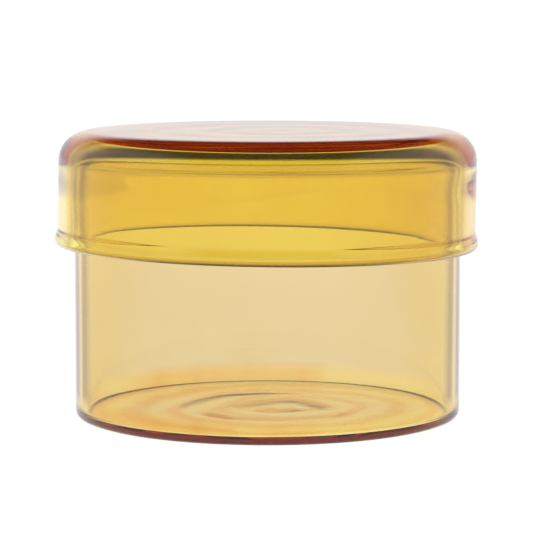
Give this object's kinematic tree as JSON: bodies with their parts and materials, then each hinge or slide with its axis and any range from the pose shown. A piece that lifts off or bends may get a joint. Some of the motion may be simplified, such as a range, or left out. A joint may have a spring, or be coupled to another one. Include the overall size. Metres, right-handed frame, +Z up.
{
  "type": "apothecary jar",
  "caption": "Round amber glass storage jar with straight walls, a flat base and a loose slip-over glass lid with a flat top and a rolled lip.",
  "frame": {"origin": "middle of the underside of the jar, on the axis, where it stands on a surface", "axes": "+Z up along the jar's axis and the way the lid lifts; the jar is round, so +X and +Y are free"},
  "size_m": [0.1112, 0.1112, 0.075],
  "materials": {
    "jar_glass": "clear, smooth, light amber blown glass",
    "lid_glass": "clear, smooth, deeper amber blown glass"
  },
  "bodies": {
    "jar": {"jar_body": "jar_glass"},
    "lid": {"lid": "lid_glass"}
  },
  "joints": [
    {"name": "lid_lift", "type": "slide", "parent": "jar", "child": "lid", "axis": [0, 0, 1], "range_m": [0, 0.06]}
  ]
}
